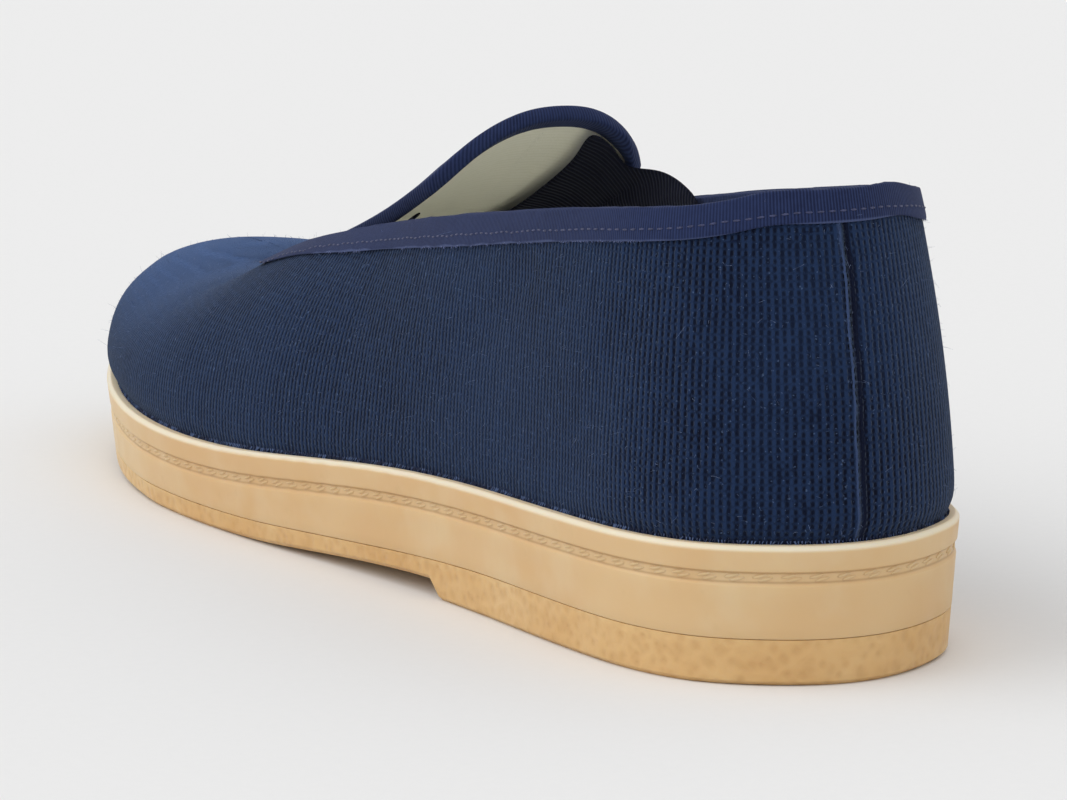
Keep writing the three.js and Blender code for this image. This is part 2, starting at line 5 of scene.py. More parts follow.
import bpy
import numpy as np
from mathutils import Matrix, Vector
from mathutils.bvhtree import BVHTree


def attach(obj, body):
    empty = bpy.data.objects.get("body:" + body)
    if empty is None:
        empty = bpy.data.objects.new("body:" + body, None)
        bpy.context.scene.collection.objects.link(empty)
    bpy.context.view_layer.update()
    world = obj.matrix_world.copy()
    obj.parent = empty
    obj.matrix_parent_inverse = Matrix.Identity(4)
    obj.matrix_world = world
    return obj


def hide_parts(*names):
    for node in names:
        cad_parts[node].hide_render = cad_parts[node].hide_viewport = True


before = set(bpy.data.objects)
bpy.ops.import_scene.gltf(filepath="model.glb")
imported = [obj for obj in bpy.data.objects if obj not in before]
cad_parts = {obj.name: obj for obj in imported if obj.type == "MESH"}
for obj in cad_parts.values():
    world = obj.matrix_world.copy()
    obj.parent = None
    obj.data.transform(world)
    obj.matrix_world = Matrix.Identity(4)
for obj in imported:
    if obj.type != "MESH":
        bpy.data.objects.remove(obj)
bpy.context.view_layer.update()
mm = 0.001
chance = np.random.default_rng(7)
smoothing = 2  # subdivision levels of every solid
wall_distance = 35 * mm  # a first guess at how far the side wall is from the middle line
outside_distance = 120 * mm  # surely outside the shoe

# ---------------------------------------------------------------- rubber cup
# The cup is moulded in pale tan rubber, a little translucent. It has a rolled rim, a moulded line of mock
# welt stitches below it, and a smooth wall down to the parting line with the tread.


def select_only(piece):
    """Makes one piece the only one that the operators act on."""
    bpy.ops.object.select_all(action="DESELECT")
    piece.select_set(True)
    bpy.context.view_layer.objects.active = piece


def welded_copy(node, name):
    """Copy of a solid's mesh as a new piece, welded and joined back into four-sided faces."""
    piece = bpy.data.objects.new(name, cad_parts[node].data.copy())
    bpy.context.scene.collection.objects.link(piece)
    select_only(piece)
    bpy.ops.mesh.customdata_custom_splitnormals_clear()
    bpy.ops.object.mode_set(mode="EDIT")
    bpy.ops.mesh.select_all(action="SELECT")
    bpy.ops.mesh.remove_doubles(threshold=0.005 * mm)
    bpy.ops.mesh.tris_convert_to_quads(face_threshold=math.radians(80), shape_threshold=math.radians(80))
    bpy.ops.object.mode_set(mode="OBJECT")
    piece.data.materials.clear()
    return piece


def crease_edges(piece, angle, sharpness=1.0):
    """Keeps the edges that are sharper than an angle through the subdivision."""
    select_only(piece)
    bpy.ops.object.mode_set(mode="EDIT")
    bpy.ops.mesh.select_mode(type="EDGE")
    bpy.ops.mesh.select_all(action="DESELECT")
    bpy.ops.mesh.edges_select_sharp(sharpness=math.radians(angle))
    bpy.ops.transform.edge_crease(value=sharpness)
    bpy.ops.mesh.select_mode(type="VERT")
    bpy.ops.object.mode_set(mode="OBJECT")


def apply_modifier(piece, kind, **settings):
    """Adds a modifier with some settings and applies it at once."""
    modifier = piece.modifiers.new(kind.lower(), kind)
    for setting, value in settings.items():
        setattr(modifier, setting, value)
    select_only(piece)
    bpy.ops.object.modifier_apply(modifier=modifier.name)


def subdivide_smooth(piece, levels):
    """Rounds a piece with applied subdivision that stays close to the solid's corners."""
    wanted = corners_of(piece)
    trial = piece.copy()
    trial.data = piece.data.copy()
    bpy.context.scene.collection.objects.link(trial)
    apply_modifier(trial, "SUBSURF", levels=levels, render_levels=levels)
    shrunk = wanted - corners_of(trial)[: len(wanted)]
    bpy.data.objects.remove(trial)
    place_corners(piece, wanted + 0.5 * shrunk)
    apply_modifier(piece, "SUBSURF", levels=levels, render_levels=levels)
    bpy.ops.object.shade_smooth()


def corners_of(piece):
    """The piece's vertices as rows of x, y, z."""
    spots = np.empty(len(piece.data.vertices) * 3)
    piece.data.vertices.foreach_get("co", spots)
    return spots.reshape(-1, 3)


def place_corners(piece, spots):
    """Moves the piece's vertices to new places."""
    piece.data.vertices.foreach_set("co", np.asarray(spots, float).ravel())
    piece.data.update()


class Finish:
    """A material under construction: its node tree and short ways to add nodes to it."""

    def __init__(self, name):
        self.material = bpy.data.materials.new(name)
        self.material.use_nodes = True
        self.tree = self.material.node_tree
        self.shader = self.tree.nodes["Principled BSDF"]

    def add(self, kind, **settings):
        node = self.tree.nodes.new(kind)
        for setting, value in settings.items():
            setattr(node, setting, value)
        return node

    def feed(self, socket, value):
        if isinstance(value, bpy.types.NodeSocket):
            self.tree.links.new(value, socket)
        else:
            socket.default_value = value

    def maths(self, operation, a, b=0.0):
        node = self.add("ShaderNodeMath", operation=operation)
        self.feed(node.inputs[0], a)
        self.feed(node.inputs[1], b)
        return node.outputs[0]

    def span(self, value, low, high, to_low=0.0, to_high=1.0, smooth=True):
        kind = "SMOOTHSTEP" if smooth else "LINEAR"
        node = self.add("ShaderNodeMapRange", interpolation_type=kind)
        for socket, number in zip(node.inputs[:5], (value, low, high, to_low, to_high)):
            self.feed(socket, number)
        return node.outputs[0]

    def mix(self, share, a, b):
        node = self.add("ShaderNodeMix", data_type="RGBA")
        self.feed(node.inputs[0], share)
        self.feed(node.inputs[6], a)
        self.feed(node.inputs[7], b)
        return node.outputs[2]

    def tint(self, color, mask, amount, other):
        return self.mix(self.maths("MULTIPLY", mask, amount), color, other)

    def wobble(self, vector, scale, amount):
        return self.maths("MULTIPLY", self.maths("SUBTRACT", self.noise(vector, scale), 0.5), amount)

    def place(self, scale=(1, 1, 1)):
        source = self.add("ShaderNodeTexCoord")
        mapping = self.add("ShaderNodeMapping")
        self.feed(mapping.inputs["Vector"], source.outputs["Object"])
        mapping.inputs["Scale"].default_value = scale
        return mapping.outputs[0]

    def noise(self, vector, scale, detail=2.0, roughness=0.5):
        node = self.add("ShaderNodeTexNoise")
        self.feed(node.inputs["Vector"], vector)
        node.inputs["Scale"].default_value = scale
        node.inputs["Detail"].default_value = detail
        node.inputs["Roughness"].default_value = roughness
        return node.outputs[0]

    def attribute(self, name):
        return self.add("ShaderNodeAttribute", attribute_name=name).outputs["Fac"]

    def bump(self, height, depth, before=None):
        node = self.add("ShaderNodeBump")
        node.inputs["Strength"].default_value = 1.0
        node.inputs["Distance"].default_value = depth
        self.feed(node.inputs["Height"], height)
        if before is not None:
            self.feed(node.inputs["Normal"], before)
        return node.outputs[0]

    def finish(self, color, roughness, normal=None, **constants):
        self.feed(self.shader.inputs["Base Color"], color)
        self.feed(self.shader.inputs["Roughness"], roughness)
        if normal is not None:
            self.feed(self.shader.inputs["Normal"], normal)
        for name, value in constants.items():
            self.shader.inputs[name.replace("_", " ")].default_value = value
        return self.material


def rubber_finish(name, main, warm, pale, lumps):
    """Tan rubber: cloudy colour, painted light towards the toe, a fine skin, lumps where it is pebbled, and
    else painted shade along the edges of the welt's groove and a painted highlight along the rim's top.
    """
    look = Finish(name)
    spot = look.place()
    clouds = look.span(look.noise(spot, 26, 2), 0.3, 0.7)
    color = look.mix(clouds, main, warm)
    color = look.tint(color, look.span(look.noise(spot, 70, 3), 0.45, 0.75), 0.3, pale)
    # painted light: the rubber is paler towards the toe, where the light from the toe's side falls
    toe = look.span(look.attribute("along"), 0.55, 0.95)
    color = look.tint(color, toe, 0.6, pale)
    grime = look.span(look.noise(spot, 210, 4, 0.6), 0.62, 0.8)
    color = look.tint(color, grime, 0.1, (0.35, 0.2, 0.08, 1))
    skin = look.bump(look.noise(spot, 1400, 2), 0.012 * mm)
    if lumps:
        pebble = look.add("ShaderNodeTexVoronoi", feature="SMOOTH_F1")
        look.feed(pebble.inputs["Vector"], spot)
        pebble.inputs["Scale"].default_value = 560
        skin = look.bump(pebble.outputs["Distance"], lumps, skin)
        skin = look.bump(look.noise(spot, 300, 3), lumps, skin)
        # the rubber is darker in the pebbles' hollows, where the bump is lowest
        pebble_hollows_darker = look.span(pebble.outputs["Distance"], 0.1, 0.6, 0.35, 0.0)
        color = look.mix(pebble_hollows_darker, color, (0.5, 0.27, 0.1, 1))
    else:
        drop = look.attribute("drop")
        # painted shade along the upper and lower edges of the welt's groove, and a painted highlight along the
        # top of the rim
        for depth, width, share in ((4.5, 0.34, 0.5), (6.1, 0.34, 0.42), (0.4, 0.8, -0.65)):
            away = look.maths("ABSOLUTE", look.maths("SUBTRACT", drop, depth * mm))
            line = look.span(away, 0.0, width * mm, abs(share), 0.0)
            color = look.mix(line, color, (0.33, 0.17, 0.06, 1) if share > 0 else (0.92, 0.89, 0.74, 1))
    gloss = look.span(look.noise(spot, 120, 3), 0.3, 0.7, 0.42, 0.58)
    return look.finish(
        color,
        gloss,
        skin,
        Subsurface_Weight=0.15,
        Subsurface_Radius=(0.9, 0.6, 0.25),
        Subsurface_Scale=0.004,
        Specular_IOR_Level=0.35,
    )


def write_attribute(piece, name, values):
    """Stores one number at each vertex for the piece's material."""
    layer = piece.data.attributes.new(name, "FLOAT", "POINT")
    layer.data.foreach_set("value", np.asarray(values, np.float32))


def close_the_joint(piece, lowest, by):
    """Moves the ring of corners along the joint of cup and tread towards the other piece."""
    spots = corners_of(piece)
    for i, (_, y, z) in enumerate(spots.copy()):
        near = spots[np.abs(spots[:, 1] - y) < 0.5 * mm, 2]
        if abs(z - (near.min() if lowest else near.max())) < 0.5 * mm:
            spots[i, 2] += by
    place_corners(piece, spots)


def moulded_layer(node, name, joint_is_lowest, joint_shift):
    """Smooth piece of a sole's layer with its sharp edges kept and slightly rounded."""
    piece = welded_copy(node, name)
    close_the_joint(piece, joint_is_lowest, joint_shift)
    crease_edges(piece, 30)
    subdivide_smooth(piece, smoothing)
    limit = math.radians(28)
    apply_modifier(piece, "BEVEL", width=0.14 * mm, segments=2, limit_method="ANGLE", angle_limit=limit)
    bpy.ops.object.shade_smooth_by_angle(angle=math.radians(50))
    return piece


cup = moulded_layer("midsole", "cup", True, -0.09 * mm)
sole_length = 268 * mm
cup_spots = corners_of(cup)
rim_at = np.arange(-134, 135, 2) * mm
rim_height = np.array([cup_spots[np.abs(cup_spots[:, 1] - y) < 3 * mm, 2].max() for y in rim_at])
write_attribute(cup, "drop", np.interp(cup_spots[:, 1], rim_at, rim_height) - cup_spots[:, 2])
write_attribute(cup, "along", 0.5 - cup_spots[:, 1] / sole_length)
cup.data.materials.append(
    rubber_finish("cup_rubber", (0.70, 0.49, 0.26, 1), (0.66, 0.42, 0.20, 1), (0.75, 0.62, 0.40, 1), 0)
)
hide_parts("midsole")
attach(cup, "root")

# ---------------------------------------------------------------- moulded welt stitches
# The mould leaves a row of mock stitches in the groove under the cup's rim: pairs of slanted ovals, like the
# turns of a rope, in the cup's own rubber.


def stations_round(count, reach, middle=-2.4 * mm):
    """Points on the line through the middle of the shoe, with the way out from each, all round the shoe."""
    bend = 40 * mm
    whole = 4 * reach + 2 * math.pi * bend
    for k in range(count):
        s = whole * k / count
        if s < 2 * reach:
            yield Vector((middle, reach - s, 0)), Vector((1, 0, 0))
        elif s < 2 * reach + math.pi * bend:
            turn = (s - 2 * reach) / bend
            yield Vector((middle, -reach, 0)), Vector((math.cos(turn), -math.sin(turn), 0))
        elif s < 4 * reach + math.pi * bend:
            yield Vector((middle, s - 3 * reach - math.pi * bend, 0)), Vector((-1, 0, 0))
        else:
            turn = (s - 4 * reach - math.pi * bend) / bend
            yield Vector((middle, reach, 0)), Vector((-math.cos(turn), math.sin(turn), 0))


def touch_from_outside(tree, base, way, height):
    """Point and normal where a level line from far outside meets a piece."""
    start = base + way * outside_distance
    start.z = height
    spot, normal, _, _ = tree.ray_cast(start, -way)
    return spot, normal


def surface_path(tree, height_at, reach, count=1400):
    """Closed path round the shoe on a piece's outside, at a height that depends on the place along it."""
    path = []
    for base, way in stations_round(count, reach):
        height = height_at((base + way * wall_distance).y)
        for _ in range(3):
            spot, normal = touch_from_outside(tree, base, way, height)
            if spot is None:
                break
            height = height_at(spot.y)
        if spot is not None:
            path.append((spot, normal))
    return path


def walk(path, step):
    """Places at even steps along a path, with the way on and the way out at each."""
    gone, due = 0.0, 0.0
    for (here, out), (there, _) in zip(path, path[1:]):
        part = (there - here).length
        while due <= gone + part and part > 0:
            yield here.lerp(there, (due - gone) / part), (there - here).normalized(), out
            due += step
        gone += part


def bead_mesh(segments=8, rings=6):
    """Corners and faces of a small ball of radius one."""
    bpy.ops.mesh.primitive_uv_sphere_add(segments=segments, ring_count=rings, radius=1)
    ball = bpy.context.object
    spots = corners_of(ball)
    faces = [tuple(face.vertices) for face in ball.data.polygons]
    bpy.data.objects.remove(ball)
    return spots, faces


def joined_copies(name, spots, faces, matrices):
    """One piece made of many copies of a small shape."""
    corners, sides = [], []
    flat = np.c_[spots, np.ones(len(spots))]
    for k, matrix in enumerate(matrices):
        corners.append((flat @ np.array(matrix).T)[:, :3])
        sides += [tuple(i + k * len(spots) for i in face) for face in faces]
    mesh = bpy.data.meshes.new(name)
    mesh.from_pydata(np.concatenate(corners).tolist(), [], sides)
    mesh.update()
    mesh.polygons.foreach_set("use_smooth", [True] * len(mesh.polygons))
    piece = bpy.data.objects.new(name, mesh)
    bpy.context.scene.collection.objects.link(piece)
    return piece


def lie_along(spot, onward, out, size, slant=0.0, sink=0.0):
    """Matrix that lays a shape along a path: size along it, across it and out of the surface."""
    out = out.normalized()
    onward = (onward - out * onward.dot(out)).normalized()
    across = out.cross(onward)
    turned = math.cos(slant) * onward + math.sin(slant) * across
    side = out.cross(turned)
    rows = Matrix((turned * size[0], side * size[1], out * size[2])).transposed().to_4x4()
    return Matrix.Translation(spot - out * sink) @ rows


def tree_of(piece):
    """Search tree of a piece's mesh."""
    spots = [vertex.co.copy() for vertex in piece.data.vertices]
    return BVHTree.FromPolygons(spots, [tuple(face.vertices) for face in piece.data.polygons])


ball_spots, ball_faces = bead_mesh()
cup_tree = tree_of(cup)
welt_depth, welt_step = 5.3 * mm, 4.6 * mm
oval_size, oval_slant, oval_sink = (1.35 * mm, 0.3 * mm, 0.26 * mm), math.radians(13), 0.05 * mm
welt_path = surface_path(cup_tree, lambda y: float(np.interp(y, rim_at, rim_height)) - welt_depth, 88 * mm)
ovals = []
for spot, onward, out in walk(welt_path, welt_step):
    for shift, rise in ((0, 0.28), (0.9, -0.26)):
        across = out.cross(onward)
        place = spot + onward * shift * mm + across * rise * mm
        ovals.append(lie_along(place, onward, out, oval_size, oval_slant, oval_sink))
welt = joined_copies("welt_stitches", ball_spots, ball_faces, ovals)
write_attribute(welt, "drop", np.zeros(len(welt.data.vertices)) + 5.4 * mm)
write_attribute(welt, "along", 0.5 - corners_of(welt)[:, 1] / sole_length)
welt.data.materials.append(cup.data.materials[0])
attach(welt, "root")

# ---------------------------------------------------------------- tread and heel
# The tread is a separate layer of slightly redder rubber with a pebbled side. It is thick under the heel,
# steps up at the heel's breast, and is thin from the waist to the toe.

tread = moulded_layer("outsole", "tread", False, 0.09 * mm)
write_attribute(tread, "along", 0.5 - corners_of(tread)[:, 1] / sole_length)
tread.data.materials.append(
    rubber_finish(
        "tread_rubber", (0.70, 0.46, 0.21, 1), (0.64, 0.38, 0.15, 1), (0.80, 0.62, 0.35, 1), 0.3 * mm
    )
)
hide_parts("outsole")
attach(tread, "root")

# ---------------------------------------------------------------- canvas upper
# One wrap of coarse navy canvas, sewn together at the back of the heel, over a cream cotton lining. It is
# cemented inside the cup's rim, where its cut threads show as a ragged edge.

upper = welded_copy("upper", "canvas_upper")
bpy.ops.object.mode_set(mode="EDIT")
bpy.ops.mesh.select_all(action="SELECT")
bpy.ops.mesh.remove_doubles(threshold=0.03 * mm)
bpy.ops.object.mode_set(mode="OBJECT")
subdivide_smooth(upper, smoothing)

# Soft troughs and ridges of the empty shoe: where it flexes over the vamp, and slanting over the quarters
crease_rows = [
    # from x, y, z, to x, y, z, half width, depth (ridges are negative), all in mm
    (30, -36, 40, 36, -52, 22, 5, 0.5),
    (22, -58, 44, 38, -66, 24, 5, 0.4),
    (-20, -56, 44, -36, -62, 24, 5, 0.45),
    (-28, -30, 42, -34, -46, 24, 5, 0.4),
    (40, 28, 30, 31, 72, 60, 4.5, 0.5),
    (42, 20, 34, 33, 62, 62, 4.5, -0.3),
    (36, 92, 30, 30, 104, 58, 6, 0.45),
    (-30, 60, 34, -29, 92, 60, 5, 0.4),
    (12, 122, 60, 24, 112, 40, 6, 0.35),
]
soft_spots = corners_of(upper)
soft_normals = np.array([vertex.normal[:] for vertex in upper.data.vertices])
sideways = soft_normals[:, 0] * (soft_spots[:, 0] + 2.4 * mm)
outwards = np.sign(sideways + soft_normals[:, 1] * soft_spots[:, 1] * 0.3)
push = np.zeros(len(soft_spots))
for *ends, half_width, depth in crease_rows:
    start, end = np.array(ends[:3]) * mm, np.array(ends[3:]) * mm
    run = end - start
    share = np.clip((soft_spots - start) @ run / (run @ run), 0, 1)
    gap = np.linalg.norm(soft_spots - start - share[:, None] * run, axis=1)
    push -= depth * mm * np.exp(-((gap / (half_width * mm)) ** 2))
wave = 0.14 * mm * np.sin(soft_spots[:, 1] / (9 * mm) + soft_spots[:, 2] / (13 * mm))
clear_of_edges = np.clip((soft_spots[:, 2] - 24 * mm) / (8 * mm), 0, 1)
push = (push + wave) * clear_of_edges
place_corners(upper, soft_spots + soft_normals * (push * outwards)[:, None])


def round_the_shoe(spots, reach=85.8 * mm, middle=-3 * mm, bend=38 * mm):
    """Distance round the shoe from the back of the heel, for points anywhere on its wall."""
    x, y = spots[:, 0] - middle, spots[:, 1]
    past = np.maximum(np.abs(y) - reach, 0)
    turn = np.arctan2(past, np.abs(x)) * bend
    side = np.where(x < 0, -1.0, 1.0)
    quarter = reach + bend * math.pi / 2
    heelwards = np.where(y >= 0, quarter - np.minimum(np.abs(y), reach) - turn, quarter)
    toewards = np.where(y < 0, np.minimum(np.abs(y), reach) + turn, 0)
    return side * (heelwards + toewards)


def woven_finish(name, dark, light, worn, pitch, relief, sheen, seam_flecks_and_painted_light):
    """Corded weave that follows the piece's own round and up attributes; its last switch adds flecks, the back
    seam with painted shade in its groove and a painted highlight on its ridge, painted light on the toe's top,
    a painted shadow under the collar's tape and painted shade along the rim.
    """
    look = Finish(name)
    spot = look.place()
    drift = look.wobble(spot, 90, 1.9)
    across = look.maths("ADD", look.maths("MULTIPLY", look.attribute("round"), math.pi / pitch[0]), drift)
    upward = look.maths("ADD", look.maths("MULTIPLY", look.attribute("up"), math.pi / pitch[1]), drift)
    turns = look.span(look.maths("SINE", upward), -1, 1, 0.1, 1.0, False)
    checks = look.maths("MULTIPLY", look.maths("SINE", across), turns)
    threads = look.noise(look.place((1, 1, 0.3)), 1100, 3, 0.65)
    uneven = look.maths("ADD", checks, look.span(threads, 0.25, 0.75, -0.5, 0.5, False))
    lift = look.span(uneven, -0.75, 0.5)
    color = look.mix(lift, dark, light)
    patches = look.span(look.noise(spot, 24, 3), 0.35, 0.7)
    color = look.tint(color, patches, 0.2, worn)
    normal = look.bump(lift, relief)
    if seam_flecks_and_painted_light:
        flecks = look.span(look.noise(spot, 1700, 2, 0.4), 0.68, 0.76)
        color = look.tint(color, flecks, 0.28, (0.16, 0.25, 0.45, 1))
        axes = look.add("ShaderNodeSeparateXYZ")
        look.feed(axes.inputs[0], look.add("ShaderNodeTexCoord").outputs["Object"])
        wander = look.wobble(spot, 130, 1.2 * mm)
        beside = look.maths("ADD", axes.outputs[0], wander)
        behind = look.span(axes.outputs[1], 95 * mm, 100 * mm)
        # painted light: the top of the toe is lightened where the light from the toe's side falls on it
        towards_toe = look.span(axes.outputs[1], -35 * mm, -110 * mm)
        on_top = look.span(axes.outputs[2], 22 * mm, 42 * mm)
        painted_toe_light = look.maths("MULTIPLY", towards_toe, on_top)
        color = look.tint(color, painted_toe_light, 0.8, (0.062, 0.12, 0.29, 1))
        # the back seam: its groove and ridge are bumps, and their colours are painted shade in the groove and
        # a painted highlight on the ridge
        seam_groove_and_shade = look.span(look.maths("ABSOLUTE", beside), 0.35 * mm, 0.85 * mm, 1.0, 0.0)
        seam_groove_and_shade = look.maths("MULTIPLY", seam_groove_and_shade, behind)
        seam_ridge_and_highlight = look.maths("ABSOLUTE", look.maths("SUBTRACT", beside, 1.2 * mm))
        seam_ridge_and_highlight = look.maths("MULTIPLY", look.span(seam_ridge_and_highlight, 0.1 * mm, 0.5 * mm, 1.0, 0.0), behind)
        color = look.tint(color, seam_ridge_and_highlight, 0.45, (0.07, 0.11, 0.24, 1))
        color = look.tint(color, seam_groove_and_shade, 0.9, (0.001, 0.002, 0.012, 1))
        # painted shadow on the canvas just under the lower edge of the collar's tape
        shade = look.span(look.attribute("below_tape"), 0.1 * mm, 1.0 * mm, 0.8, 0.0)
        color = look.mix(shade, color, (0.001, 0.003, 0.018, 1))
        # painted shade on the canvas along the joint where it goes into the cup's rim, with a ragged top
        rim_joint_shade = look.span(look.maths("ADD", look.attribute("above_rim"), wander), 0.0, 1.3 * mm, 0.7, 0.0)
        color = look.mix(rim_joint_shade, color, (0.002, 0.005, 0.025, 1))
        normal = look.bump(look.maths("SUBTRACT", seam_ridge_and_highlight, seam_groove_and_shade), 0.3 * mm, normal)
    normal = look.bump(look.noise(spot, 2600, 2), 0.05 * mm, normal)
    return look.finish(
        color,
        0.95,
        normal,
        Sheen_Weight=sheen,
        Sheen_Roughness=0.45,
        Sheen_Tint=(0.55, 0.72, 1, 1),
        Specular_IOR_Level=0.12,
    )


canvas = woven_finish(
    "navy_canvas",
    (0.0004, 0.0012, 0.009, 1),
    (0.0115, 0.026, 0.072, 1),
    (0.019, 0.042, 0.11, 1),
    (0.55 * mm, 0.62 * mm),
    0.3 * mm,
    0.13,
    True,
)
lining = woven_finish(
    "cotton_lining",
    (0.91, 0.90, 0.79, 1),
    (0.95, 0.94, 0.84, 1),
    (0.93, 0.92, 0.81, 1),
    (0.45 * mm, 0.45 * mm),
    0.01 * mm,
    0.1,
    False,
)
places = corners_of(upper)
write_attribute(upper, "round", round_the_shoe(places))
write_attribute(upper, "up", places[:, 2])
write_attribute(upper, "above_rim", places[:, 2] - np.interp(places[:, 1], rim_at, rim_height))
tape_spots = corners_of(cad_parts["collar_tape"])


def above_tape_foot(spots, tape, reach):
    """Height of each point above the lower edge of the collar's tape, which is sought within a reach."""
    above = np.ones(len(spots))
    at = np.arange(-40, 130, 2) * mm
    for sign in (-1, 1):
        edge = tape[tape[:, 0] * sign > -3 * mm]
        low = [edge[np.abs(edge[:, 1] - y) < reach, 2] for y in at]
        low = np.array([rows.min() if len(rows) else 0 for rows in low])
        mine = spots[:, 0] * sign > 0
        above[mine] = (spots[:, 2] - np.interp(spots[:, 1], at, low))[mine]
    return above


below = -above_tape_foot(places, tape_spots, 6 * mm)
below[(places[:, 1] < -42 * mm) | (below < 0)] = 1
write_attribute(upper, "below_tape", below)
upper.data.materials.append(canvas)
upper.data.materials.append(lining)
heart = Vector((-3 * mm, 0, 28 * mm))
for face in upper.data.polygons:
    heart.y = max(-80 * mm, min(80 * mm, face.center.y))
    inwards = face.normal.dot(face.center - heart) < 0
    face.material_index = 1 if inwards else 0
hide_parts("upper")
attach(upper, "root")

# ---------------------------------------------------------------- edge tapes
# Ribbed cotton tape is folded over every free edge of the canvas.


def ribbed_finish(name, dark, light, rib, relief):
    """Cloth with ribs across its length, which the round attribute measures."""
    look = Finish(name)
    spot = look.place()
    drift = look.wobble(spot, 180, 2.0)
    along = look.maths("MULTIPLY", look.attribute("round"), 2 * math.pi / rib)
    ribs = look.maths("SINE", look.maths("ADD", along, drift))
    uneven = look.maths("ADD", ribs, look.span(look.noise(spot, 900, 3, 0.6), 0.2, 0.8, -0.7, 0.7, False))
    lift = look.span(uneven, -0.9, 0.9)
    color = look.mix(lift, dark, light)
    fade = look.span(look.noise(spot, 45, 3), 0.35, 0.7)
    color = look.tint(color, fade, 0.25, light)
    foot = look.span(look.maths("ABSOLUTE", look.attribute("above_foot")), 0.2 * mm, 0.55 * mm, 0.55, 0.0)
    color = look.mix(foot, color, (0.09, 0.12, 0.25, 1))
    normal = look.bump(lift, relief)
    normal = look.bump(look.noise(spot, 2200, 2), 0.04 * mm, normal)
    return look.finish(
        color,
        0.9,
        normal,
        Sheen_Weight=0.08,
        Sheen_Roughness=0.5,
        Sheen_Tint=(0.7, 0.75, 1, 1),
        Specular_IOR_Level=0.15,
    )


tape_cloth = ribbed_finish("tape_cloth", (0.008, 0.013, 0.044, 1), (0.021, 0.034, 0.1, 1), 0.5 * mm, 0.05 * mm)
skin_tree = tree_of(upper)
bindings = (("collar_tape", "collar_binding", 85.8 * mm), ("tongue_tape", "tongue_binding", -2 * mm))
for node, name, reach in bindings:
    on_collar = node == "collar_tape"
    binding = welded_copy(node, name)
    subdivide_smooth(binding, smoothing)
    pressed = corners_of(binding)
    for i, corner in enumerate(pressed):
        spot, normal, _, gap = skin_tree.find_nearest(Vector(corner))
        away = Vector(corner) - spot
        if on_collar and away.dot(normal) > 0 and gap < 1.2 * mm:
            share = min(1, max(0, (away.normalized().dot(normal) - 0.5) / 0.4))
            pressed[i] = corner - np.array(normal) * 0.16 * mm * share
    place_corners(binding, pressed)
    places = corners_of(binding)
    bend = (36 if on_collar else 20) * mm
    write_attribute(binding, "round", round_the_shoe(places, reach, -3 * mm, bend))
    above_foot = above_tape_foot(places, places, 1.8 * mm) if on_collar else np.ones(len(places))
    write_attribute(binding, "above_foot", above_foot)
    binding.data.materials.append(tape_cloth)
    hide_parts(node)
    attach(binding, "root")

# ---------------------------------------------------------------- tape stitches
# One row of dark blue thread runs through the collar's tape, a third of its width above its lower edge.

collar_band = bpy.data.objects["collar_binding"]
band_spots = corners_of(collar_band)
band_tree = tree_of(collar_band)
band_at = np.arange(-44, 134, 2) * mm


def band_limits(sign):
    """Lowest and highest height of the band along one side of the shoe."""
    side = band_spots[band_spots[:, 0] * sign > -3 * mm]
    near = [side[np.abs(side[:, 1] - y) < 2.2 * mm, 2] for y in band_at]
    return [np.array([get(rows) if len(rows) else np.nan for rows in near]) for get in (np.min, np.max)]


limits = {sign: band_limits(sign) for sign in (-1, 1)}


def band_height(spot, share):
    """Height on the band at a share of its width."""
    low, high = (np.interp(spot.y, band_at, row) for row in limits[1 if spot.x > 0 else -1])
    return low + share * (high - low)


threads = []
band_path = []
stitch_share, stitch_step = 0.36, 1.95 * mm
stitch_size, stitch_rise = (0.62 * mm, 0.17 * mm, 0.15 * mm), 0.03 * mm


def sew(path):
    """Adds stitches at even steps along a path."""
    for place, onward, out in walk(path, stitch_step):
        threads.append(lie_along(place, onward, out, stitch_size, 0.0, -stitch_rise))


for base, way in stations_round(1400, 84 * mm):
    spot = base + way * wall_distance
    for _ in range(3):
        height = band_height(spot, stitch_share)
        if not math.isfinite(height):
            spot = None
            break
        spot, normal = touch_from_outside(band_tree, base, way, height)
        if spot is None:
            break
    if spot is not None and abs((spot - base).dot(way)) < 60 * mm and normal.dot(way) > 0.1:
        band_path.append((spot, normal))
    elif len(band_path) > 1:
        sew(band_path)
        band_path = []
sew(band_path)
row = joined_copies("tape_stitches", ball_spots, ball_faces, threads)
thread = Finish("sewing_thread")
strands = thread.span(thread.noise(thread.place(), 2500, 2), 0.35, 0.65)
row.data.materials.append(
    thread.finish(thread.mix(strands, (0.012, 0.017, 0.06, 1), (0.04, 0.05, 0.14, 1)), 0.7, Sheen_Weight=0.2)
)
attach(row, "root")

# ---------------------------------------------------------------- loose fibres
# Cut threads stand out of the hem along the rubber, and pale fuzz and single hairs stand off the old cloth.


def fibre(start, way, length, thick, bend):
    """Corners and faces of one thin bent hair of three sides."""
    side = way.orthogonal().normalized()
    other = way.cross(side)
    corners, faces = [], []
    for k in range(4):
        t = k / 3
        centre = start + way * (length * t) + bend * (length * t * t)
        for turn in (0, 2.1, 4.2):
            corners.append(centre + (side * math.cos(turn) + other * math.sin(turn)) * thick * (1 - 0.6 * t))
    for k in range(3):
        for i in range(3):
            a, b = 3 * k + i, 3 * k + (i + 1) % 3
            faces.append((a, b, b + 3, a + 3))
    faces += [(2, 1, 0), (9, 10, 11)]
    return corners, faces


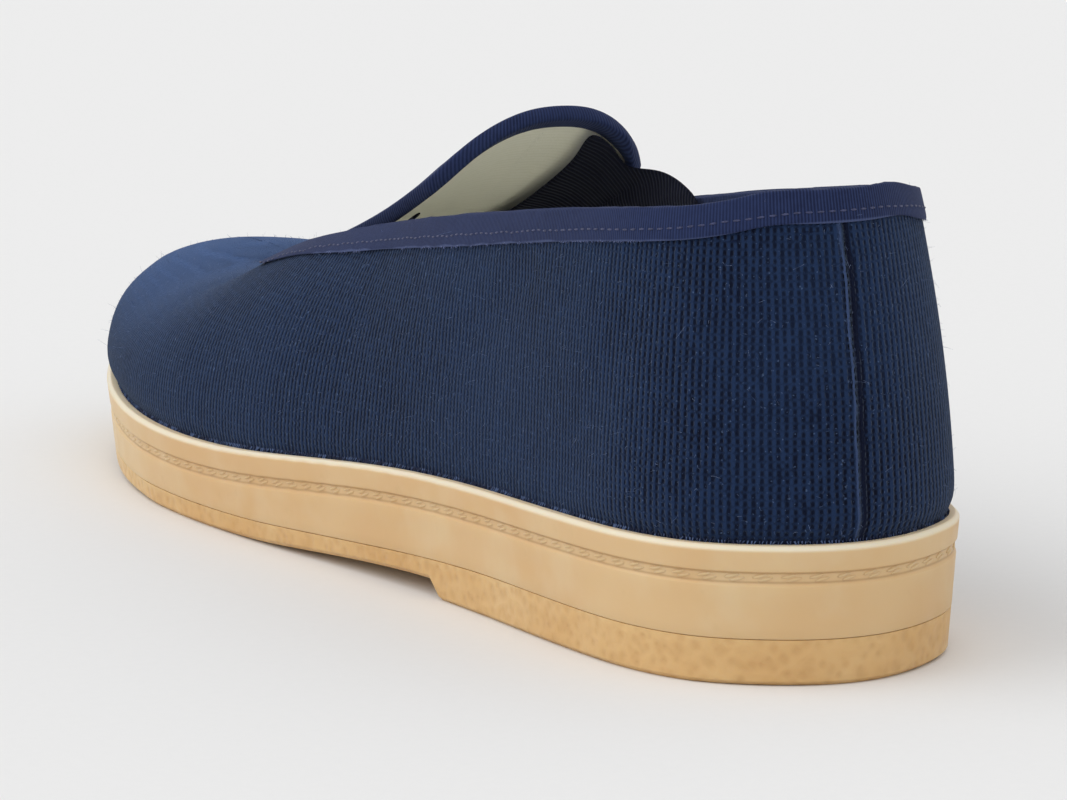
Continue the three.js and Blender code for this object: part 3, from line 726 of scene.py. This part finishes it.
def fibres(name, roots, finish):
    """One piece of many hairs."""
    corners, faces = [], []
    for root in roots:
        more, sides = fibre(*root)
        faces += [tuple(i + len(corners) for i in side) for side in sides]
        corners += more
    mesh = bpy.data.meshes.new(name)
    mesh.from_pydata([tuple(c) for c in corners], [], faces)
    mesh.update()
    piece = bpy.data.objects.new(name, mesh)
    bpy.context.scene.collection.objects.link(piece)
    mesh.materials.append(finish)
    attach(piece, "root")


upper_tree = tree_of(upper)


def fibre_finish(name, dark, light):
    """Cotton fibre, some of it paler."""
    look = Finish(name)
    share = look.span(look.noise(look.place(), 700, 1), 0.4, 0.6)
    return look.finish(look.mix(share, dark, light), 0.9, Sheen_Weight=0.3)


hem_rise = 0.5 * mm
hem_path = surface_path(
    upper_tree, lambda y: float(np.interp(y, rim_at, rim_height)) + hem_rise, 88 * mm, 2200
)
teeth = []
for spot, onward, out in walk(hem_path, 0.62 * mm):
    lean = onward * chance.normal(0, 0.35) + Vector((0, 0, -0.75)) + out * 0.5
    length = chance.uniform(0.6, 1.25) * mm
    thick = chance.uniform(0.1, 0.2) * mm
    teeth.append((spot - out * 0.1 * mm, lean.normalized(), length, thick, out * 0.2))
fibres("hem_threads", teeth, fibre_finish("hem_cotton", (0.004, 0.009, 0.04, 1), (0.06, 0.1, 0.22, 1)))

edge_threads = []
fuzz_share = 0.04  # of the tape's width, above its lower edge
for base, way in stations_round(1500, 84 * mm):
    spot = base + way * wall_distance
    height = band_height(spot, fuzz_share)
    spot, out = touch_from_outside(band_tree, base, way, height) if math.isfinite(height) else (None, None)
    if spot is not None:
        height = band_height(spot, fuzz_share)
        spot, out = touch_from_outside(band_tree, base, way, height) if math.isfinite(height) else (None, None)
    if spot is not None and out.dot(way) > 0.1:
        lean = (Vector(chance.normal(0, 0.5, 3)) + Vector((0, 0, -0.6)) + out * 0.35).normalized()
        edge_threads.append((spot, lean, chance.uniform(0.25, 0.6) * mm, 0.05 * mm, out * -0.3))
fibres("tape_edge_fuzz", edge_threads, fibre_finish("edge_cotton", (0.03, 0.05, 0.14, 1), (0.16, 0.2, 0.4, 1)))

cells = [face for face in upper.data.polygons if face.material_index == 0 and face.center.z > 24 * mm]
areas = np.array([face.area for face in cells])
fuzz = []
hairs = 2600
for k in chance.choice(len(cells), hairs, p=areas / areas.sum()):
    face = cells[k]
    corners = [upper.data.vertices[i].co for i in face.vertices]
    mixing = chance.dirichlet(np.ones(len(corners)))
    spot = sum((corner * share for corner, share in zip(corners, mixing)), Vector())
    lean = face.normal + Vector(chance.normal(0, 0.55, 3))
    length = chance.choice([0.5, 0.9, 1.8], p=[0.7, 0.28, 0.02]) * mm * chance.uniform(0.7, 1.3)
    fuzz.append((spot, lean.normalized(), length, 0.03 * mm, Vector(chance.normal(0, 0.5, 3))))
fibres("cloth_fuzz", fuzz, fibre_finish("pale_fuzz", (0.03, 0.06, 0.15, 1), (0.14, 0.2, 0.36, 1)))

# ---------------------------------------------------------------- elastic gussets
# Near-black ribbed elastic closes each slit. It is sewn under the tongue's edge and inside the quarter.

elastic = ribbed_finish(
    "elastic_cloth", (0.0006, 0.001, 0.005, 1), (0.003, 0.0045, 0.016, 1), 0.9 * mm, 0.1 * mm
)
for node in ("gusset_outer", "gusset_inner"):
    panel = welded_copy(node, node + "_elastic")
    subdivide_smooth(panel, smoothing)
    write_attribute(panel, "round", corners_of(panel)[:, 1])
    write_attribute(panel, "above_foot", np.ones(len(panel.data.vertices)))
    panel.data.materials.append(elastic)
    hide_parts(node)
    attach(panel, "root")

# ---------------------------------------------------------------- insole
# A thin padded sock of cream cotton lies on the cup's floor.

sock = welded_copy("insole", "insole_sock")
crease_edges(sock, 30, 0.8)
subdivide_smooth(sock, smoothing)
places = corners_of(sock)
write_attribute(sock, "round", places[:, 0])
write_attribute(sock, "up", places[:, 1])
sock.data.materials.append(lining)
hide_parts("insole")
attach(sock, "root")

# ---------------------------------------------------------------- floor, light and camera
# A plain pale floor under soft studio light that comes mostly from the toe's side and from above.

bpy.ops.mesh.primitive_circle_add(vertices=64, radius=6, fill_type="NGON", location=(0, 0, 0))
floor = bpy.context.object
floor.name = "studio_floor"
paper = Finish("floor_paper")
grain = paper.noise(paper.place(), 500, 3)
floor.data.materials.append(
    paper.finish(paper.mix(grain, (0.80, 0.80, 0.80, 1), (0.82, 0.82, 0.82, 1)), 0.9, Specular_IOR_Level=0.1)
)

world = bpy.data.worlds.new("studio")
bpy.context.scene.world = world
world.use_nodes = True
world.node_tree.nodes["Background"].inputs["Color"].default_value = (1, 1, 1, 1)
world.node_tree.nodes["Background"].inputs["Strength"].default_value = 0.7

turn, tilt, roll = math.radians(149.822), math.radians(8.972), math.radians(0.513)
back = Vector((math.sin(turn) * math.cos(tilt), -math.cos(turn) * math.cos(tilt), math.sin(tilt)))
level = Vector((math.cos(turn), math.sin(turn), 0))
upright = back.cross(level)
right = math.cos(roll) * level + math.sin(roll) * upright
above = math.cos(roll) * upright - math.sin(roll) * level
distance, focal = 1.029071, 3098.384
centre = (-176.742, -49.733)
eye = Vector((0, 0, 0.035)) + distance * (back - right * centre[0] / focal - above * centre[1] / focal)
# The photo shows the shoe left of its middle. From the same place the camera turns to it and comes closer.
photo_width, photo_middle, shoe_at = 1067, (533.5, 400), (380, 480)
across, down = ((shoe_at[i] - photo_middle[i]) / focal for i in (0, 1))
aim = (right * across - above * down - back).normalized()
swing = (-back).rotation_difference(aim)
right, above, back = (swing @ way for way in (right, above, back))
closer = 1.84
lens = bpy.data.cameras.new("view")
lens.sensor_width = 36
lens.lens = closer * focal * lens.sensor_width / photo_width
lens.clip_start = 0.01
lens.clip_end = 50
camera = bpy.data.objects.new("view", lens)
bpy.context.scene.collection.objects.link(camera)
camera.matrix_world = Matrix.Translation(eye) @ Matrix((right, above, back)).transposed().to_4x4()
bpy.context.scene.camera = camera


def soft_sun(name, towards, strength, spread):
    """Wide, even light that comes from one side."""
    lamp = bpy.data.lights.new(name, "SUN")
    lamp.energy = strength
    lamp.angle = math.radians(spread)
    holder = bpy.data.objects.new(name, lamp)
    bpy.context.scene.collection.objects.link(holder)
    holder.rotation_euler = Vector(towards).to_track_quat("Z", "Y").to_euler()


soft_sun("toe_side", -right * 0.9 + Vector((0, 0, 0.75)) + back * 0.1, 0.85, 60)
soft_sun("overhead", Vector((0, 0, 1)) + back * 0.25, 0.42, 90)
soft_sun("front_fill", back + Vector((0, 0, 0.7)), 0.2, 60)

bpy.context.scene.view_settings.view_transform = "Standard"
